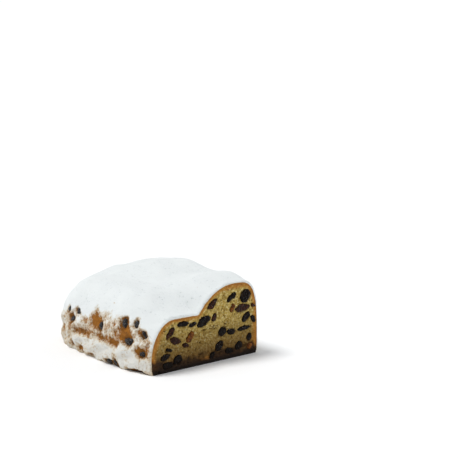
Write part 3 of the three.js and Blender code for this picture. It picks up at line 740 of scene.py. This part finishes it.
def make_loaf():
    """The whole loaf: rows over the cut face from its middle outwards, then rings along the skin."""
    angles = spread_angles(LOAF_COLUMNS + 1, loaf_weight)
    u, angle = np.meshgrid(length_rows(STRAIGHT_ROWS, FAN_ROWS), angles, indexing="ij")
    origin, direction = spine_rays(u, angle)
    smooth_skin = skin_points(origin, direction)
    depth = sugar_depth(u, angle, smooth_skin)
    for drift in DRIFTS.values():  # under a drift the crust counts as sugared
        depth = np.maximum(depth, 1.6 * drift_band(drift, smooth_skin) - 0.6)
    wrinkles = layered(smooth_skin, CRUST_WRINKLES) * (1 - SMOOTHED * smooth(depth, 0, 1))
    skin = skin_sheet(origin, direction, wrinkles)
    skin[0, :, 0] = CUT_X

    # The cut face shrinks the outline row by row, and is torn between the pieces of fruit.
    outline = skin[0]
    rim_out = skin_normal(outline)
    middle = np.concatenate([[CUT_X], FACE_MIDDLE])
    share = np.linspace(0, 1, FACE_ROWS + 1)[:-1, None, None]
    face = middle + (outline - middle) * share
    rind = np.sum((outline - face)[..., 1:] * rim_out[:, 1:], -1)
    rind = np.where(rind > 0, rind, 0) * (1 - LOW_RIND * (1 - smooth(face[..., 2], 26, 44)))
    torn, hole = crumb_relief(face)
    socket = 1 - smooth(gap_to(CUT_FRUIT, face, FRUIT_SEARCH), *SOCKET_EDGE)
    inner = smooth(rind, 0.4, 2.2)
    relief = np.maximum(torn, PROUDEST) * (RIND_RELIEF + (1 - RIND_RELIEF) * inner)
    face[..., 0] -= (relief + SOCKET_DEPTH * socket) * smooth(rind, 0, 0.5)

    on_skin, on_face = np.zeros(u.shape), np.zeros(share.shape[:1] + u.shape[1:])
    return wrapped("loaf_crust_and_crumb", np.concatenate([face, skin]), [CRUST, CRUMB], FACE_ROWS,
                   rind=np.concatenate([rind, on_skin]), hole=np.concatenate([hole * inner, on_skin]),
                   socket=np.concatenate([socket, on_skin]), depth=np.concatenate([on_face, depth]),
                   near_fruit=np.concatenate([on_face, near_fruit(smooth_skin)]))


stollen = make_loaf()
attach(stollen, "root")
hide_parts("loaf")


# ---- Icing sugar ----

COAT_REACH = np.radians([-22, 204])
COAT_COLUMNS, COAT_STRAIGHT_ROWS, COAT_FAN_ROWS = 236, 96, 74
CUT_ROW = 0.0025  # a row close behind the cut, as a share of the length
COAT_OPENS = (0.64, 0.88)  # places along the loaf between which the coat opens out
TIP_OVERLAP = 1.02  # opened out, its edges go this much further than halfway round
DRIFT_MARGIN = 3.0  # a drift's sheet goes this far past the drift
DRIFT_STEP, DRIFT_ROWS = 0.7, 30
DRIFT_EDGE = [(0.6, 5, 3, 81.0), (0.6, 2.0, 3, 83.0)]  # strength, swell width, octaves, seed
DRIFT_CLUMPS = [(0.7, 4.5, 3, 85.0), (0.3, 1.6, 2, 87.0)]
DRIFT_EXTRA = 0.1  # a drift is this much thicker than the coat


def sugar_sheet(name, skin, normals, depth, lumps, to_the_tip=False):
    """A closed sheet of sugar on the skin, its top lifted by its depth, ragged where it dives under.

    A sheet whose last row is the loaf's far tip is closed there already.
    """
    full = np.maximum(COAT_THICKNESS + SUGAR_GAP + lumps, THINNEST_COAT)
    behind = CUT_X - skin[..., 0]
    rounded = CUT_BODY + (1 - CUT_BODY) * smooth(behind, 0, CUT_ROUNDING)
    body = np.clip(depth, 0, 1) ** SUGAR_SWELL * full * rounded + np.clip(depth, -0.8, 0)
    grains = layered(skin, SUGAR_GRAINS) * smooth(depth, 0, 1)
    root = SUGAR_ROOT * (CUT_ROOT + (1 - CUT_ROOT) * smooth(behind, 1.5, 3))
    rise = (crags(skin) + np.maximum(body, THINNEST_SHEET - root) + grains)[..., None]
    top, under = skin + normals * rise, skin + normals * (crags(skin) - root)[..., None]
    crumbling = CUT_STEP + CUT_CRUMBLES * np.maximum(noise_over(skin, 1.6, 3, 75.0), -0.3)
    for sheet in (top, under):
        sheet[..., 0] = np.minimum(sheet[..., 0], CUT_X - crumbling)
        sheet[..., 2] = np.maximum(sheet[..., 2], 0)
    # Each row runs over the top and back underneath. Rows halfway between the two close the ends.
    loops = np.concatenate([top, under[:, ::-1], top[:, :1]], 1)
    fold = (loops + np.concatenate([under, top[:, ::-1], under[:, :1]], 1)) / 2

    def closed(loop_rows, first, last):
        return np.concatenate([first, loop_rows] + ([] if to_the_tip else [last]))

    def over_both(values):
        mark = np.concatenate([values, values[:, ::-1], values[:, :1]], 1)
        return closed(mark, mark[:1], mark[-1:])

    return wrapped(name, closed(loops, fold[:1], fold[-1:]), [SUGAR],
                   depth=over_both(depth), near_fruit=over_both(near_fruit(skin)))


def coat_weight(angle):
    """How fine the coat's mesh is: finest on the flanks, and nothing outside its reach."""
    upper = np.where(on_flanks(angle), COAT_FLANK_WEIGHT, TOP_WEIGHT)
    return np.where(within(angle, COAT_REACH), upper, 0.0)


def make_coat():
    """The coat over the top, the upper flanks and the far end."""
    angles = np.clip(spread_angles(COAT_COLUMNS, coat_weight), *COAT_REACH)
    rows = np.concatenate([[0, CUT_ROW], length_rows(COAT_STRAIGHT_ROWS, COAT_FAN_ROWS)[1:]])
    u, angle = np.meshgrid(rows, angles, indexing="ij")
    # Over the rounded end the sheet opens out until it reaches the table all round, its edges
    # overlapping a little below the tip.
    top, half = COAT_REACH.mean(), np.ptp(COAT_REACH) / 2
    opened = TIP_OVERLAP * np.pi / half
    angle = top + (angle - top) * (1 + (opened - 1) * smooth(u, *COAT_OPENS))
    skin = skin_points(*spine_rays(u, angle))
    normals = skin_normal(skin)
    depth, lumps = sugar_depth(u, angle, skin), sugar_lumps(skin)
    return sugar_sheet("icing_sugar_coat", skin, normals, depth, lumps, to_the_tip=True)


def make_drift(name, drift):
    """A low drift of sugar on a flank, clumpy and ragged at its edges."""
    start, end = drift["span"]
    behind = np.arange(max(start - DRIFT_MARGIN, 0), end + DRIFT_MARGIN + 1, DRIFT_STEP)
    across = np.linspace(-DRIFT_MARGIN, DRIFT_MARGIN, DRIFT_ROWS)
    t = (behind - start) / (end - start)
    low, high = along(drift["low"], t)[:, None], along(drift["high"], t)[:, None]
    share = (across + DRIFT_MARGIN) / (2 * DRIFT_MARGIN)
    height = np.maximum(low + (high - low) * share + across, 0.1)
    skin = flank_skin(drift["side"], behind[:, None], height)
    if drift["side"] < 0:
        skin = skin[:, ::-1]
    normals = skin_normal(skin)
    depth = 2.3 * drift_band(drift, skin, 0.5) - 1.0 + layered(skin, DRIFT_EDGE)
    lumps = sugar_lumps(skin) + layered(skin, DRIFT_CLUMPS) + DRIFT_EXTRA
    return sugar_sheet(name, skin, normals, depth, lumps)


sugar_pieces = {"sugar_coat": make_coat()}
for node, drift in DRIFTS.items():
    sugar_pieces[node] = make_drift(node.replace("sugar_drift", "icing_sugar_drift"), drift)
for node, piece in sugar_pieces.items():
    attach(piece, "root")
    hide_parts(node)


# ---- Fruit ----

RED_BROWN = {"raisin_cut_03", "raisin_cut_04", "raisin_cut_05", "raisin_cut_08", "raisin_cut_12",
             "raisin_cut_13", "raisin_cut_14"}
FRUIT_VOXEL = 0.42  # how fine its mesh is
LUMP_SHARE = 0.45  # lumps as a share of a fruit's breadth
FLUSH, SHAVED = 0.2, 0.65  # past this height over the cut the knife takes this share off
LUMPS = bpy.data.textures.new("raisin_lumps", "CLOUDS")
LUMPS.noise_scale = 4.5 * MM
FOLDS = bpy.data.textures.new("raisin_folds", "CLOUDS")
FOLDS.noise_scale = 2.2 * MM
FOLDS.noise_depth = 2


def make_fruit(node, name, material, grow, wrinkle):
    """A CAD fruit with a fine, wrinkled skin, grown to fill its hole."""
    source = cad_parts[node]
    piece = bpy.data.objects.new(name, source.data.copy())
    bpy.context.scene.collection.objects.link(piece)
    only(piece)
    bpy.ops.object.mode_set(mode="EDIT")
    bpy.ops.mesh.select_all(action="SELECT")
    bpy.ops.mesh.remove_doubles(threshold=1e-3 * MM)
    bpy.ops.object.mode_set(mode="OBJECT")
    modified(piece, "REMESH", mode="VOXEL", voxel_size=FRUIT_VOXEL * MM)
    modified(piece, "SMOOTH", factor=0.5, iterations=3)
    lumps = LUMP_SHARE * sorted(source.dimensions)[1]
    modified(piece, "DISPLACE", strength=grow * MM, mid_level=0.0)
    modified(piece, "DISPLACE", texture=LUMPS, texture_coords="LOCAL", strength=lumps, mid_level=0.5)
    modified(piece, "DISPLACE", texture=FOLDS, texture_coords="LOCAL", strength=wrinkle * MM, mid_level=0.5)
    modified(piece, "SMOOTH", factor=0.5, iterations=2)
    if node in CUT_FRUIT:  # the knife left it nearly flush
        points = points_of(piece)
        points[:, 0] -= SHAVED * np.maximum(points[:, 0] - CUT_X - FLUSH, 0)
        set_points(piece, points)
    piece.data.materials.clear()
    piece.data.materials.append(material)
    bpy.ops.object.shade_smooth()
    return piece


for node in sorted(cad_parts):
    if node.startswith("raisin_cut"):
        fruit = make_fruit(node, node.replace("raisin_cut", "sliced_raisin"),
                           SULTANA if node in RED_BROWN else RAISIN, grow=0.2, wrinkle=1.5)
    elif node.startswith("peel_cut"):
        fruit = make_fruit(node, node.replace("peel_cut", "sliced_peel"), PEEL, grow=0.2, wrinkle=0.8)
    elif node.startswith("raisin_crust"):
        fruit = make_fruit(node, node.replace("raisin_crust", "crust_raisin"), DUSTED_RAISIN,
                           grow=0.15, wrinkle=1.5)
    else:
        continue
    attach(fruit, "root")
    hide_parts(node)


# ---- Table, light and camera ----

TABLE_RADIUS = 9000.0


# Painted board: an even, matt white, with only the faintest swells of tone.
def pale_table():
    material, tree, shader = new_material("matt_white_board")
    place = add(tree, "TexCoord").outputs["Object"]
    faint = add(tree, "TexNoise", {"Vector": place, "Scale": per_mm(1000 / 3), "Detail": 2.0})
    tone = add(tree, "Mix", {0: faint.outputs["Fac"], FIRST: colour("#fbfbfb"), SECOND: colour("#f8f8f8")},
               data_type="RGBA")
    tree.links.new(tone.outputs[MIXED], shader.inputs["Base Color"])
    shader.inputs["Roughness"].default_value = 0.9
    shader.inputs["Specular IOR Level"].default_value = 0.1
    return material


bpy.ops.object.select_all(action="DESELECT")
bpy.ops.mesh.primitive_circle_add(vertices=96, radius=TABLE_RADIUS * MM, fill_type="NGON")
table = bpy.context.object
table.name = "table"
table.data.materials.append(pale_table())

AZIMUTH, ELEVATION = 48.84, 10.51  # where the camera stands, in degrees round and above the part
DISTANCE = 1200.0
FRAME_PIXELS = 458
PIXELS_PER_MM = 1.29
CORNER_Y = -55.0  # the cut's front base corner, from the form's middle line
CORNER_PIXEL = (151.27, 376.54)  # where that corner lies in the frame
SENSOR_WIDTH = 36.0

azimuth, elevation = np.radians([AZIMUTH, ELEVATION])
right = Vector((math.cos(azimuth), math.sin(azimuth), 0))
back = Vector((math.sin(azimuth) * math.cos(elevation), -math.cos(azimuth) * math.cos(elevation),
               math.sin(elevation)))
up = back.cross(right)
corner = Vector((CUT_X, MIDDLE_Y + CORNER_Y, 0))
across = (CORNER_PIXEL[0] - FRAME_PIXELS / 2) / PIXELS_PER_MM
rise = -(CORNER_PIXEL[1] - FRAME_PIXELS / 2) / PIXELS_PER_MM
spot = (corner - across * right - rise * up + DISTANCE * back) * MM
lens = bpy.data.cameras.new("camera")
lens.sensor_width = SENSOR_WIDTH
lens.lens = SENSOR_WIDTH * PIXELS_PER_MM * DISTANCE / FRAME_PIXELS
lens.clip_end = 40  # metres, well past the table
camera = bpy.data.objects.new("camera", lens)
camera.matrix_world = Matrix.Translation(spot) @ Matrix((right, up, back)).transposed().to_4x4()
bpy.context.scene.collection.objects.link(camera)
bpy.context.scene.camera = camera


def sun(name, from_right, from_camera, from_above, strength, spread):
    """A light from a direction given as shares: right, towards the camera, up. A wide spread softens it."""
    level_back = Vector((back.x, back.y, 0)).normalized()
    way = right * from_right + level_back * from_camera + Vector((0, 0, from_above))
    bpy.ops.object.light_add(type="SUN", rotation=way.to_track_quat("Z", "Y").to_euler())
    light = bpy.context.object
    light.name = name
    light.data.energy = strength
    light.data.angle = np.radians(spread)


sun("key_light", -0.42, 0.02, 0.87, 1.94, 24)
sun("glint_light", 0.94, 0.09, 0.34, 0.42, 2.5)

# The room: dim overhead so that the light has a direction, and white towards the horizon.
HORIZON, OVERHEAD = (1.0, 1.0, 1.0, 1.0), (0.44, 0.45, 0.46, 1.0)
world = bpy.data.worlds.new("white_room")
bpy.context.scene.world = world
world.use_nodes = True
room = world.node_tree
way = add(room, "TexCoord").outputs["Generated"]
climb = add(room, "SeparateXYZ", {0: way}).outputs["Z"]
overhead = add(room, "MapRange", {"Value": climb, "From Min": 0.05, "From Max": 0.2})
glow = add(room, "Mix", {0: overhead.outputs[0], FIRST: HORIZON, SECOND: OVERHEAD}, data_type="RGBA")
room.links.new(glow.outputs[MIXED], room.nodes["Background"].inputs["Color"])
room.nodes["Background"].inputs["Strength"].default_value = 1.12
bpy.context.scene.view_settings.view_transform = "Standard"
